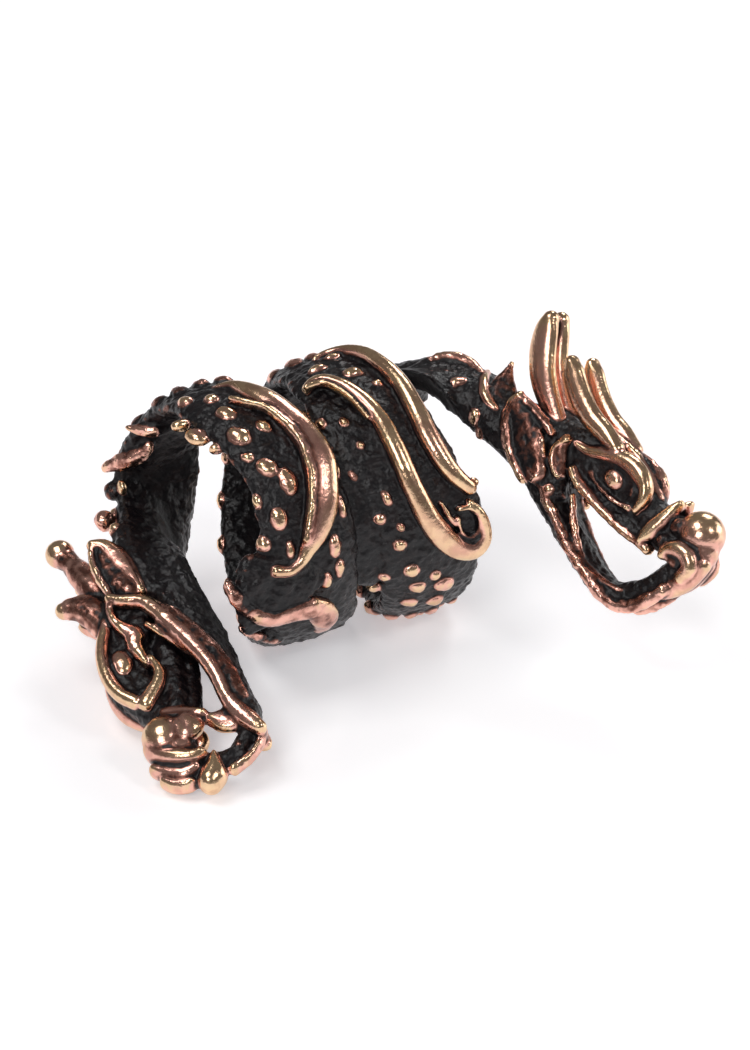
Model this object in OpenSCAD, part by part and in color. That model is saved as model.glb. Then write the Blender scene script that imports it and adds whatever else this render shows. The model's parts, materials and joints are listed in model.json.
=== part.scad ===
// A cast bronze beard bead. A two-headed dragon winds two turns round the hair bore.
// The bore runs along X through the origin. Z is up and the bead lies as it would on a table.

/* [Bore] */
// Radius of the hair bore inside the turns
bore_r = 6; // [5.8:0.1:6.1]

// Where the true round of the bore begins
bore_from = -7.9; // [-8:0.1:-7.6]
// Where the true round of the bore ends
bore_to = 6.7; // [6.4:0.1:6.8]

/* [Coil] */
// Length of the bead between the two snouts
bead_l = 33.1; // [32.5:0.1:33.8]
// Step of the coil along the bore in one turn
pitch = 7.36; // [7.1:0.1:7.7]
// Wall from the bore to the edge of the band
edge_t = 0.55; // [0.45:0.05:0.65]
// Rise of the rounded back over the edges
dome_t = 0.95; // [0.8:0.05:1.1]
// Rise of each scale over the back
scale_h = 0.35; // [0.2:0.05:0.45]
// Turn angle at which the left neck begins
coil_from = -96; // [-100:1:-92]
// Turn angle at which the right neck begins
coil_to = 641; // [640:1:645]

/* [Crests] */
// Half width of the smooth crests at their foot
crest_w = 0.75; // [0.6:0.05:0.85]

/* [Heads] */
// Radius of an eye bead
eye_r = 0.55; // [0.4:0.05:0.65]
// Radius of the ball on the nose
nose_r = 1.15; // [1:0.05:1.25]
// Half thickness of the lower jaws
jaw_t = 0.8; // [0.65:0.05:0.9]

/* [Hidden] */
coil_mid = 300;
coil_step = 10.5;
// Rows of turn angle, shift along the bore from an even coil, and width of the band.
coil_rows = [
  [-100, 0, 5.2],
  [-45, 0.4, 4.8],
  [0, 0.15, 5.1],
  [45, 0.4, 4.7],
  [90, -0.5, 5.4],
  [135, -0.8, 5.8],
  [180, -0.6, 5.6],
  [225, -0.5, 5.5],
  [270, -0.1, 5.4],
  [315, 0.3, 4.7],
  [360, 0.1, 4.9],
  [405, -0.25, 5.4],
  [450, -0.45, 5.6],
  [495, -0.75, 5.6],
  [540, -0.65, 5.4],
  [585, -0.4, 5.2],
  [630, -0.15, 5],
  [660, 0, 4.8]
];
coil_shift = [for (row = coil_rows) [row[0], row[1]]];
coil_width = [for (row = coil_rows) [row[0], row[2]]];

function unit(v) = v / norm(v);
function band_x(turn) = pitch * (turn - coil_mid) / 360 + lookup(turn, coil_shift);
function band_w(turn) = lookup(turn, coil_width);
function on_turn(x, r, turn) = [x, -r * sin(turn), r * cos(turn)];

// A row on the smooth curve through the rows given, u counted in rows.
function curve_row(rows, u) =
  let (last = len(rows) - 1)
  let (k = min(floor(u), last - 1))
  let (t = u - k)
  let (a = rows[max(k - 1, 0)])
  let (b = rows[k])
  let (c = rows[k + 1])
  let (d = rows[min(k + 2, last)])
  b + 0.5 * t * (c - a + t * (2 * a - 5 * b + 4 * c - d + t * (3 * b - a - 3 * c + d)));
function curve(rows, steps) =
  [for (i = [0:steps]) curve_row(rows, i * (len(rows) - 1) / steps)];

function place(row) = [row[0], row[1], row[2]];
function ring_faces(rings, m) = [
  for (i = [0:rings - 2], j = [0:m - 1])
    each [
      [i * m + j, (i + 1) * m + j, (i + 1) * m + (j + 1) % m],
      [i * m + j, (i + 1) * m + (j + 1) % m, i * m + (j + 1) % m]
    ]
];

// A closed skin over rings of the same number of points.
module skin(rings) {
  m = len(rings[0]);
  last = (len(rings) - 1) * m;
  first_cap = [[for (j = [0:m - 1]) j]];
  last_cap = [[for (j = [m - 1:-1:0]) last + j]];
  polyhedron(
    points = [for (ring = rings) each ring],
    faces = concat(first_cap, ring_faces(len(rings), m), last_cap),
    convexity = 12
  );
}

// A bar along rows of [x, y, z, half width, half height], its width lying along side.
module bar(rows, side, steps, m) {
  line = curve(rows, steps);
  skin([
    for (i = [0:steps])
      let (before = place(line[max(i - 1, 0)]))
      let (after = place(line[min(i + 1, steps)]))
      let (along = unit(after - before))
      let (across = unit(side - (side * along) * along))
      let (over = cross(along, across))
      [for (j = [0:m - 1])
        place(line[i])
          + line[i][3] * cos(j * 360 / m + 22.5) * across
          + line[i][4] * sin(j * 360 / m + 22.5) * over]
  ]);
}

// Rows of turn angle, offset from the middle of the band and rise of the front crest.
front_crest = [
  [-100, 0, 0.2],
  [-40, -0.4, 0.2],
  [-8, 0.2, 0.45],
  [14, 1.3, 0.6],
  [38, 1.5, 0.6],
  [60, 1.4, 0.6],
  [76, 0.3, 0.6],
  [86, -0.8, 0.3],
  [110, 0, 0.15],
  [300, -0.3, 0.2],
  [336, -1.7, 0.2],
  [354, -1.9, 0.5],
  [374, -1.4, 0.6],
  [402, -0.2, 0.6],
  [428, 0.6, 0.6],
  [452, 1.4, 0.6],
  [468, 0.8, 0.2],
  [500, 0, 0.15],
  [660, 0, 0.2]
];
// The same rows for the rear crest, which stands up only on the second turn.
rear_crest = [
  [-100, 1.3, 0],
  [-8, 1.5, 0],
  [14, 1.95, 0],
  [60, 2, 0],
  [86, 1.2, 0],
  [322, 0.6, 0],
  [338, -0.6, 0.3],
  [354, 0.8, 0.6],
  [374, 1.5, 0.6],
  [402, 1.7, 0.6],
  [428, 2.1, 0.5],
  [440, 2.15, 0],
  [500, 1.3, 0],
  [660, 1.3, 0]
];
function column(rows, k) = [for (row = rows) [row[0], row[k]]];
front_off = column(front_crest, 1);
front_rise = column(front_crest, 2);
rear_off = column(rear_crest, 1);
rear_rise = column(rear_crest, 2);

// Offset, rise and scale mark of each point across the back, from the right edge to the left.
function back_row(turn) =
  let (w = band_w(turn) / 2)
  let (f = lookup(turn, front_off))
  let (r = lookup(turn, rear_off))
  let (c = crest_w)
  let (gap = (r - f) / 2 - c * 0.8)
  [
    [w, 0, 0],
    [(w + r + c * 0.6) / 2, 0, 1],
    [r + c * 0.6, lookup(turn, rear_rise) * 0.2, 0],
    [r + c * 0.3, lookup(turn, rear_rise), 0],
    [r - c * 0.3, lookup(turn, rear_rise), 0],
    [(f + r) / 2 + gap * 0.3, 0, 1],
    [f + c, lookup(turn, front_rise) * 0.4, 0],
    [f + c * 0.4, lookup(turn, front_rise), 0],
    [f - c * 0.4, lookup(turn, front_rise), 0],
    [f - c, lookup(turn, front_rise) * 0.4, 0],
    [f - c - (w + f - c) * 0.28, 0, 1],
    [f - c - (w + f - c) * 0.52, 0, 2],
    [f - c - (w + f - c) * 0.76, 0, 1],
    [-w, 0, 0]
  ];

// One ring of the coil, two points on the bore and the rest over the back with its scales.
function coil_ring(i, turn) =
  let (w = band_w(turn) / 2)
  let (x = band_x(turn))
  concat(
    [
      on_turn(x - w + 0.15, bore_r - 0.12, turn),
      on_turn(x + w - 0.15, bore_r - 0.12, turn)
    ],
    [
      for (p = back_row(turn))
        let (s = min(1, abs(p[0]) / w))
        let (bump = p[2] > 0 && (i + p[2]) % 2 == 0 ? scale_h : 0)
        on_turn(x + p[0], bore_r + edge_t + dome_t * sqrt(1 - s * s) + p[1] + bump, turn)
    ]
  );

module coil() {
  n = round((coil_to - coil_from) / coil_step);
  skin([for (i = [0:n]) coil_ring(i, coil_from + i * (coil_to - coil_from) / n)]);
}

// A row of a bar that follows the turns.
function turn_row(x, r, turn, w) = concat(on_turn(x, r, turn), [w, w]);

// The leaf under the first turn and the hooked end of the front crest on the second.
module crest_ends() {
  bar(
    [
      turn_row(-7.6, 6.9, 97, 0.35),
      turn_row(-6, 7.5, 106, 0.5),
      turn_row(-4, 7.5, 112, 0.5),
      turn_row(-2.6, 7, 114, 0.3)
    ],
    [0, 0, 1], 6, 6
  );
  bar(
    [
      turn_row(4, 7.3, 444, 0.4),
      turn_row(4.7, 7.5, 454, 0.5),
      turn_row(5.5, 7.4, 452, 0.5),
      turn_row(5.4, 6.9, 440, 0.3)
    ],
    [0, 1, 0], 6, 6
  );
}

// A head's place: where it starts, its way to the nose, across it, and up to its crown.
function head_place(start, nose, crown) =
  let (x = unit(nose))
  let (z = unit(crown - (crown * x) * x))
  [start, x, cross(z, x), z];
left_place = head_place([-11.65, 0.1, -3.2], [-0.19, -0.95, -0.27], [-0.937, 0.255, -0.238]);
right_place = head_place([11.5, -2.7, 1.7], [0.33, -0.94, -0.08], [0.466, 0.089, 0.88]);

// A row of a neck or a jaw in a head: reach, rise, roll of its back, half width, half thickness.
function head_row(place, reach, rise, roll, w, t) =
  let (back = cos(roll) * place[3] + sin(roll) * place[2])
  concat(place[0] + reach * place[1] + rise * place[3], back, [w, t]);

// The body runs on from the coil through each neck and makes the lower jaw.
left_neck = [
  [-7.5, 6.8, 1.4, 0, 1, 0.2, 2.4, 0.75],
  [-7.8, 6.85, -0.6, 0, 1, -0.1, 2.6, 0.9],
  [-8.2, 6.1, -2.3, -0.3, 0.95, -0.3, 2.75, 1.1],
  [-9.1, 4.5, -3.3, -0.45, 0.75, -0.5, 2.7, 1.3],
  head_row(left_place, -1.8, -1.3, -48, 2.6, 1.4),
  head_row(left_place, 1, -1.8, -40, 2.3, 1.3),
  head_row(left_place, 4, -2.7, -28, 1.9, 0.95),
  head_row(left_place, 7, -3.3, -15, 1.6, jaw_t),
  head_row(left_place, 9.4, -3.7, -5, 1.45, jaw_t),
  head_row(left_place, 11.3, -3.8, 0, 1.4, jaw_t),
  head_row(left_place, 12.7, -2.7, 0, 1.3, jaw_t),
  head_row(left_place, 13.4, -1.3, 0, 1.1, 0.7),
  head_row(left_place, 13.4, 0, 0, 0.8, 0.5)
];
right_neck = [
  [6.7, 6.6, 0.4, 0, 1, 0.1, 2.3, 0.75],
  [6.9, 6.2, 2, 0, 0.9, 0.4, 2.35, 0.9],
  [7.6, 4.6, 3.1, 0, 0.6, 0.8, 2.3, 1.05],
  [8.7, 2.2, 3.4, 0.1, 0.3, 0.95, 2.35, 1.35],
  [10, -0.2, 2.5, 0.3, 0.2, 0.93, 2.35, 1.7],
  head_row(right_place, 0.6, -1.1, 10, 2.2, 1.7),
  head_row(right_place, 3.2, -2.6, 5, 1.9, 1.2),
  head_row(right_place, 5.4, -3.7, 0, 1.7, 0.9),
  head_row(right_place, 7.2, -4.7, 0, 1.6, jaw_t),
  head_row(right_place, 8.4, -4.9, 0, 1.5, jaw_t),
  head_row(right_place, 10, -4, 0, 1.4, jaw_t),
  head_row(right_place, 11.4, -2.5, 0, 1.3, jaw_t),
  head_row(right_place, 12, -0.8, 0, 0.9, 0.5)
];

// A ring of a neck, its inner side flatter than its back.
function neck_ring(line, i) =
  let (row = line[i])
  let (before = place(line[max(i - 1, 0)]))
  let (after = place(line[min(i + 1, len(line) - 1)]))
  let (along = unit(after - before))
  let (lean = [row[3], row[4], row[5]])
  let (back = unit(lean - (lean * along) * along))
  let (across = cross(back, along))
  [
    for (j = [0:9])
      let (a = 18 + j * 36)
      let (drop = sin(a) < 0 ? 0.75 : 1)
      place(row) + row[6] * cos(a) * across + row[7] * drop * sin(a) * back
  ];

module neck(rows, steps) {
  line = curve(rows, steps);
  skin([for (i = [0:steps]) neck_ring(line, i)]);
}

module in_head(at) {
  multmatrix([
    [at[1][0], at[2][0], at[3][0], at[0][0]],
    [at[1][1], at[2][1], at[3][1], at[0][1]],
    [at[1][2], at[2][2], at[3][2], at[0][2]],
    [0, 0, 0, 1]
  ])
    children();
}

// The same bar on both flanks of a head.
module pair(rows, steps = 4) {
  bar(rows, [0, 1, 0], steps, 6);
  mirror([0, 1, 0])
    bar(rows, [0, 1, 0], steps, 6);
}

module skull() {
  bar(
    [
      [-1.8, 0, 0.4, 1.8, 1.6],
      [0.5, 0, 0.6, 2.1, 1.8],
      [3, 0, 0.9, 2, 1.7],
      [5.5, 0, 0.9, 1.9, 1.7],
      [7.5, 0, 0.5, 1.7, 1.5],
      [9.2, 0, -0.1, 1.5, 1.1],
      [11, 0, -0.4, 1.35, 1],
      [12.4, 0, -0.4, 1, 0.8]
    ],
    [0, 1, 0], 12, 10
  );
}

module eyes_and_brows() {
  pair([
    [3.4, 1.4, 1.4, 0.3, 0.3],
    [5.3, 1.55, 2.3, 0.42, 0.42],
    [7.3, 1.4, 2.4, 0.42, 0.42],
    [8.8, 1.2, 1.3, 0.38, 0.38],
    [8.5, 1.3, 0.1, 0.25, 0.25]
  ], 7);
  for (s = [-1, 1])
    translate([6.5, s * 1.7, 1])
      scale([1.5, 0.8, 1])
        sphere(r = eye_r, $fn = 8);
}

module ear_leaves() {
  pair(
    [
      [-2.8, 1.8, 1.9, 0.2, 0.25],
      [-1, 2, 1, 0.4, 0.7],
      [0.6, 2, 0, 0.4, 0.75],
      [2, 1.6, -0.8, 0.25, 0.3]
    ]
  );
  pair(
    [
      [1.3, 1.7, 1.5, 0.2, 0.25],
      [2.3, 1.95, 0.6, 0.4, 0.6],
      [3.3, 1.7, -0.4, 0.2, 0.3]
    ]
  );
}

module lips() {
  pair(
    [
      [3.4, 1.5, 0, 0.35, 0.3],
      [6, 1.4, -0.55, 0.4, 0.35],
      [9, 1.1, -0.9, 0.4, 0.35],
      [11.2, 0.85, -1, 0.35, 0.35]
    ]
  );
}

module left_head() {
  in_head(left_place) {
    skull();
    eyes_and_brows();
    ear_leaves();
    lips();
    translate([9.9, 0, 1])
      sphere(r = nose_r, $fn = 12);
    bar(
      [
        [9.4, 0, 0, 1, 1],
        [11.3, 0, 0.7, 1.3, 1.3],
        [13, 0, 0.3, 1.2, 1.15],
        [14.1, 0, -0.4, 0.6, 0.5]
      ],
      [0, 1, 0], 6, 8
    );
    bar(
      [
        [10, 0, -3.4, 0.9, 0.5],
        [10.4, 0, -2.4, 0.6, 0.4],
        [10.6, 0, -1.2, 0.7, 0.5]
      ],
      [0, 1, 0], 4, 6
    );
    bar(
      [
        [0.4, 0.6, 1.4, 0.6, 0.6],
        [-1, 0.7, 2.4, 0.6, 0.55],
        [-2.7, 0.7, 3.3, 0.55, 0.5],
        [-4.6, 0.6, 4.3, 0.7, 0.6]
      ],
      [0, 1, 0], 4, 6
    );
    bar(
      [
        [0.4, -0.8, 1.4, 0.6, 0.6],
        [-0.6, -1, 2.3, 0.6, 0.55],
        [-2, -1.2, 3.1, 0.3, 0.3]
      ],
      [0, 1, 0], 3, 6
    );
    bar(
      [
        [1.8, 0.7, 1.8, 0.6, 0.6],
        [1.4, 0.8, 3, 0.6, 0.5],
        [0.9, 0.8, 4.4, 0.6, 0.5]
      ],
      [0, 1, 0], 3, 6
    );
    bar(
      [
        [1.8, -0.7, 1.8, 0.6, 0.6],
        [1.2, -0.9, 2.9, 0.6, 0.5],
        [0.6, -1, 3.7, 0.3, 0.3]
      ],
      [0, 1, 0], 3, 6
    );
  }
}

module right_head() {
  in_head(right_place) {
    skull();
    eyes_and_brows();
    ear_leaves();
    lips();
    translate([12, 0, 0.2])
      sphere(r = nose_r, $fn = 12);
    pair(
      [
        [10.4, 0.8, -1.3, 0.4, 0.4],
        [11.8, 1, -1.5, 0.4, 0.4],
        [12.7, 0.9, -0.8, 0.4, 0.4],
        [12, 0.9, -0.2, 0.3, 0.3]
      ]
    );
    bar(
      [
        [8.9, 0, 0.4, 1, 0.5],
        [9.9, 0, 0.9, 1.3, 0.6],
        [10.8, 0, 1.2, 1, 0.5]
      ],
      [0, 1, 0], 4, 8
    );
    pair(
      [
        [1.4, 0.7, 1, 0.7, 0.8],
        [0, 0.8, 2.6, 0.7, 0.9],
        [-1.4, 0.9, 4.6, 0.7, 0.9],
        [-2.8, 0.9, 6.3, 0.6, 0.7],
        [-3, 0.9, 7, 0.25, 0.3]
      ],
      5
    );
    pair(
      [
        [5.2, 0.7, 1.6, 0.55, 0.55],
        [4, 0.8, 2.8, 0.6, 0.6],
        [2.2, 0.9, 3.9, 0.6, 0.55],
        [0.4, 0.9, 5.1, 0.5, 0.45],
        [-0.1, 0.9, 5.6, 0.2, 0.2]
      ],
      5
    );
  }
}

// Pointed leaves that stand along the backs of the necks.
module neck_leaves() {
  bar(
    [
      [-7.4, 6.9, 2.4, 0.5, 0.5],
      [-8.2, 7.4, 3, 0.4, 0.4],
      [-9.2, 7.5, 2.8, 0.15, 0.15]
    ],
    [0, 0, 1], 4, 6
  );
  bar(
    [
      [-8.4, 7, -0.2, 0.6, 0.5],
      [-9.4, 7.7, -0.4, 0.4, 0.4],
      [-10.2, 8, -0.9, 0.15, 0.15]
    ],
    [0, 0, 1], 4, 6
  );
  bar(
    [
      [-9, 6.6, -1.6, 0.6, 0.5],
      [-10.1, 7, -2, 0.4, 0.4],
      [-10.8, 7.1, -2.5, 0.15, 0.15]
    ],
    [0, 0, 1], 4, 6
  );
  bar(
    [
      [8.4, 3, 4.6, 0.5, 0.5],
      [9.6, 1.4, 4.9, 0.45, 0.4],
      [10.4, 0.4, 5, 0.15, 0.15]
    ],
    [1, 0, 0], 4, 6
  );
  bar(
    [
      [10, 0.4, 3.8, 0.6, 0.5],
      [10.4, -0.4, 4.8, 0.4, 0.4],
      [10.4, 0.2, 5.6, 0.15, 0.15]
    ],
    [1, 0, 0], 4, 6
  );
}

module dragon() {
  coil();
  crest_ends();
  neck(left_neck, 21);
  neck(right_neck, 21);
  neck_leaves();
  left_head();
  right_head();
}

// The straight run of the bore between the two necks.
module hair_bore() {
  translate([bore_from, 0, 0])
    rotate([0, 90, 0])
      cylinder(h = bore_to - bore_from, r = bore_r, $fn = 72);
}

// The dragon at the length of the real bead, with the true round of the bore cut through it.
module bead() {
  color([0.72, 0.45, 0.28])
    difference() {
      resize([bead_l, 0, 0], auto = true)
        dragon();
      hair_bore();
    }
}

bead();
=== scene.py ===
# The looks of a cast bronze beard bead: a dragon with two heads, wound two turns round the hair bore.
# The wax is modelled in millimetres, part by part, then cast as one skin and brought to metres.
import json
import math

import bpy
import numpy as np
from mathutils import Matrix, Vector
from mathutils.bvhtree import BVHTree

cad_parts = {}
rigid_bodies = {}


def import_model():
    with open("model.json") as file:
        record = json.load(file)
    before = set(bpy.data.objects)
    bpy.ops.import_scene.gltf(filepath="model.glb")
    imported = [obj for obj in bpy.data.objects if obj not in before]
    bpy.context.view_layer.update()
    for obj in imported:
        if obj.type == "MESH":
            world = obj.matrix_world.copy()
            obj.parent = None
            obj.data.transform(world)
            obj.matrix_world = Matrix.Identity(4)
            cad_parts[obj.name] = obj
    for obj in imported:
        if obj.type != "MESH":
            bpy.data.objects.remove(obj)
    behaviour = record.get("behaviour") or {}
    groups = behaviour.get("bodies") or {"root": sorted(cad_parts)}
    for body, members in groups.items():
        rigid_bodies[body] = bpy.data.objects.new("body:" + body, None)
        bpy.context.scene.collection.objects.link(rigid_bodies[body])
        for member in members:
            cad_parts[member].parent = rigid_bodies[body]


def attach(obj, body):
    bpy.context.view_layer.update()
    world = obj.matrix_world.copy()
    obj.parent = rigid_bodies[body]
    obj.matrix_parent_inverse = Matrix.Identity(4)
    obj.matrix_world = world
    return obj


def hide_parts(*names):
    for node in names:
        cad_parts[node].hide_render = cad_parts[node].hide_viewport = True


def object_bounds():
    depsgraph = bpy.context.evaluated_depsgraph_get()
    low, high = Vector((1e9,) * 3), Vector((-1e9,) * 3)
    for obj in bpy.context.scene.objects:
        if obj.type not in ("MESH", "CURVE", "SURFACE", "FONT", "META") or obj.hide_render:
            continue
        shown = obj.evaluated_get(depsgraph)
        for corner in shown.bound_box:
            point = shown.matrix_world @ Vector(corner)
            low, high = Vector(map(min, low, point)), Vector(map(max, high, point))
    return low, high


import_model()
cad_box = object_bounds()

MM = 0.001

# Sizes of the band, in millimetres and degrees of turn.
BORE_R = 6.0
BAND_EDGE_R = 6.5
BAND_RISE = 1.0
BAND_MIDDLE_R = 6.74
BAND_HALF_THICK = 0.8
BAND_TURNS = range(-102, 655, 6)
NARROWS_BELOW, NARROWS_ABOVE, NARROWING = -78, 624, 24
PITCH = 7.36
MID_TURN = 300
STRIP_STEP = 0.128  # length of the flat strip for each degree of turn
OUT_OF_STRIP = (0, 0, 1)

# Rows of scales on the parts of the band that the front doesn't show.
SCALE_ROWS = np.arange(-92, 640, 10.5)
SCALE_GAP = 1.25
IN_FRONT = ((-20, 166), (334, 506))
BY_LEFT_NECK = (-80, -20)

# Bars of wax: their thinnest half size, and the rings that round an end, as shares of its half size.
THINNEST = 0.06
ROUND_END = ((0.38, 0.93), (0.7, 0.72), (0.9, 0.44), (1.0, 0.15))

# The cast skin: size of its faces, and the rounds of smoothing that reach as far as one does at 0.1 mm.
CASTING_GRAIN = 0.089
ROUNDS = (0.1 / CASTING_GRAIN) ** 2
SOFTENING_ROUNDS = 5
CASTING_LUMPS = (("dents", 1.2, 0.23), ("casting_lumps", 0.45, 0.2))  # name, size and height
LUMPS_WORN = 0.009  # share worn away, times the square of the tenths of brightness

# The reamed bore: its play, where the necks begin to cross it and over what length it fades out there.
BORE_PLAY = 0.02
BORE_LEFT, BORE_LEFT_FADE = -8.8, 1.2
BORE_RIGHT, BORE_RIGHT_FADE = 7.6, 1.8
WALL_UNEVEN, WALL_DEPTH = 0.14, 0.4
WALL_ROUNDS, WALL_EDGE = 8, 0.15
TABLE_PLAY = 0.02

# Wear: relief that counts as full, the rounds of smoothing it is measured over, and the inner wall.
FINE_RELIEF, FINE_ROUNDS = 0.03, 12
BROAD_RELIEF, BROAD_ROUNDS = 0.16, 60
INNER_WALL = (-8.6, 7.6)
INNER_WALL_EDGE = 0.3
CREASE = math.radians(65)

# Rows of turn, shift along the bore from an even coil, and width of the band.
BAND = np.array([
    (-100, 0, 5.2), (-45, 0.4, 4.8), (0, 0.15, 5.1), (45, 0.6, 5.1), (90, -0.3, 5.8), (135, -0.8, 5.8),
    (180, -0.6, 5.6), (225, -0.5, 5.5), (270, -0.1, 5.4), (315, 0.3, 4.7), (360, -0.5, 6.1),
    (400, -0.69, 6.4), (425, -0.45, 5.6), (450, -0.7, 5.9), (495, -0.75, 5.6), (540, -0.65, 5.4),
    (585, -0.4, 5.2), (630, -0.15, 5), (660, 0, 4.8),
])


def band_x(turn):
    """Place along the bore of the middle of the band."""
    return PITCH * (turn - MID_TURN) / 360 + np.interp(turn, BAND[:, 0], BAND[:, 1])


def band_width(turn):
    """Width of the band."""
    return np.interp(turn, BAND[:, 0], BAND[:, 2])


def back_r(turn, x):
    """Radius of the band's rounded back at a place along the bore."""
    s = np.clip(2 * abs(x - band_x(turn)) / band_width(turn), 0, 1)
    return BAND_EDGE_R + BAND_RISE * np.sqrt(1 - s * s)


def put_down():
    """Nothing stays selected or in edit mode."""
    if bpy.context.object and bpy.context.object.mode != "OBJECT":
        bpy.ops.object.mode_set(mode="OBJECT")
    bpy.ops.object.select_all(action="DESELECT")


def eased(rows, steps):
    """Rows on the smooth curve through the rows given."""
    rows = np.array(rows, float)
    last = len(rows) - 1
    out = []
    for i in range(steps + 1):
        k = min(int(i * last / steps), last - 1)
        t = i * last / steps - k
        a, b, c, d = rows[max(k - 1, 0)], rows[k], rows[k + 1], rows[min(k + 2, last)]
        out.append(b + 0.5 * t * (c - a + t * (2 * a - 5 * b + 4 * c - d + t * (3 * b - a - 3 * c + d))))
    return out


def ring_frame(along, up=None, side=None):
    """Across, over and along a bar, as the columns of a matrix."""
    along = Vector(along).normalized()
    across = Vector(up).cross(along) if side is None else Vector(side) - Vector(side).dot(along) * along
    across.normalize()
    return Matrix((across, along.cross(across), along)).transposed()


def turn_ring(old, new, centre):
    """Turns the selected ring from one frame to another."""
    angles = (new @ old.inverted()).to_euler("XYZ")
    for axis, angle in zip("XYZ", angles):
        if abs(angle) > 1e-6:
            bpy.ops.transform.rotate(value=-angle, orient_axis=axis, orient_type="GLOBAL",
                                     center_override=centre)


def stretch_ring(wide, high, ring, centre):
    """Stretches the selected ring across and over, in its own frame."""
    bpy.ops.transform.resize(value=(wide, high, 1), orient_type="GLOBAL", orient_matrix=ring,
                             orient_matrix_type="GLOBAL", center_override=centre)


def draw_out(rows, side=None, up=None, steps=None, sides=10, flat=1.0, ups=None, rounded=True):
    """A bar of wax drawn out ring by ring, whose rows hold place, half width and half height.

    A ring keeps its width along side, or its height along up or along its own row of ups.
    """
    if ups is not None:
        rows = [(*row, *over) for row, over in zip(rows, ups)]
    rows = eased(rows, steps or 3 * (len(rows) - 1))
    places = [Vector(r[:3]) for r in rows]
    sizes = [(max(r[3], THINNEST), max(r[4], THINNEST)) for r in rows]
    last = len(rows) - 1
    rings = []
    for i, r in enumerate(rows):
        along = places[min(i + 1, last)] - places[max(i - 1, 0)]
        rings.append(ring_frame(along, up=up if ups is None else r[5:8], side=side))
    if rounded:
        for end, way in ((0, -1), (-1, 1)):
            place, (w, h), ring = places[end], sizes[end], rings[end]
            for out, share in ROUND_END:
                at = len(places) if way > 0 else 0
                places.insert(at, place + ring.col[2] * (way * out * min(w, h)))
                sizes.insert(at, (w * share, h * share))
                rings.insert(at, ring)
    put_down()
    start = (0, 0, 0)
    bpy.ops.mesh.primitive_circle_add(vertices=sides, radius=1, fill_type="NGON", enter_editmode=True,
                                      location=start)
    bar = bpy.context.object
    if flat != 1.0:  # the underside is flattened by this share
        bpy.ops.mesh.select_all(action="DESELECT")
        bpy.ops.object.mode_set(mode="OBJECT")
        for v in bar.data.vertices:
            v.co.y *= flat if v.co.y < 0 else 1
        bpy.ops.object.mode_set(mode="EDIT")
        bpy.ops.mesh.select_all(action="SELECT")
    turn_ring(Matrix.Identity(3), rings[0], start)
    stretch_ring(*sizes[0], rings[0], start)
    bpy.ops.transform.translate(value=places[0])
    for i in range(1, len(places)):
        bpy.ops.mesh.extrude_region_move(TRANSFORM_OT_translate={"value": places[i] - places[i - 1]})
        turn_ring(rings[i - 1], rings[i], places[i])
        stretch_ring(sizes[i][0] / sizes[i - 1][0], sizes[i][1] / sizes[i - 1][1], rings[i], places[i])
    bpy.ops.mesh.select_all(action="SELECT")
    bpy.ops.mesh.normals_make_consistent(inside=False)
    put_down()
    return buffed(bar, 0)


def buffed(piece, much):
    """Marks how bright a piece of relief is rubbed once it is cast."""
    layer = piece.data.attributes.get("buffed") or piece.data.attributes.new("buffed", "FLOAT", "FACE")
    layer.data.foreach_set("value", np.full(len(piece.data.polygons), much, np.float32))
    return piece


def ball(place, size, sides=16, bright=1.0):
    """An oval ball of wax, size being its half lengths."""
    put_down()
    bpy.ops.mesh.primitive_uv_sphere_add(segments=sides, ring_count=sides // 2, radius=1, location=place,
                                         scale=size)
    bpy.ops.object.transform_apply(location=True, rotation=True, scale=True)
    return buffed(bpy.context.object, bright)


def knob(place, size, bright):
    """A small ball of wax."""
    return ball(place, size, sides=12, bright=bright)


def picked_up(piece):
    """Selects one piece alone."""
    put_down()
    piece.select_set(True)
    bpy.context.view_layer.objects.active = piece


def joined(pieces, name):
    """Joins pieces into one, which takes the name."""
    put_down()
    for piece in pieces:
        piece.select_set(True)
    bpy.context.view_layer.objects.active = pieces[0]
    bpy.ops.object.join()
    whole = bpy.context.object
    whole.name = whole.data.name = name
    put_down()
    return whole


def finished(piece, kind, **settings):
    """Adds a modifier to a piece and applies it."""
    picked_up(piece)
    modifier = piece.modifiers.new(kind.lower(), kind)
    for key, value in settings.items():
        setattr(modifier, key, value)
    bpy.ops.object.modifier_apply(modifier=modifier.name)
    return piece


def points_of(mesh):
    """The points of a mesh as rows of an array."""
    points = np.empty(len(mesh.vertices) * 3)
    mesh.vertices.foreach_get("co", points)
    return points.reshape(-1, 3)


def move_points(mesh, points):
    """Puts the points of a mesh where the rows say."""
    mesh.vertices.foreach_set("co", np.ascontiguousarray(points, float).ravel())
    mesh.update()


def wound(strip):
    """Winds a flat strip round the bore: its length becomes turn and its height the radius."""
    flat = points_of(strip.data)
    turn = flat[:, 0] / STRIP_STEP
    angle = np.radians(turn)
    radius = flat[:, 2]
    move_points(strip.data, np.stack([
        band_x(turn) + flat[:, 1], -radius * np.sin(angle), radius * np.cos(angle)], axis=1))
    return strip


def strip_row(turn, x, r, wide, high):
    """A row on the flat strip for a place on the wound band."""
    return (turn * STRIP_STEP, float(x - band_x(turn)), r, wide, high)


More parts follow.
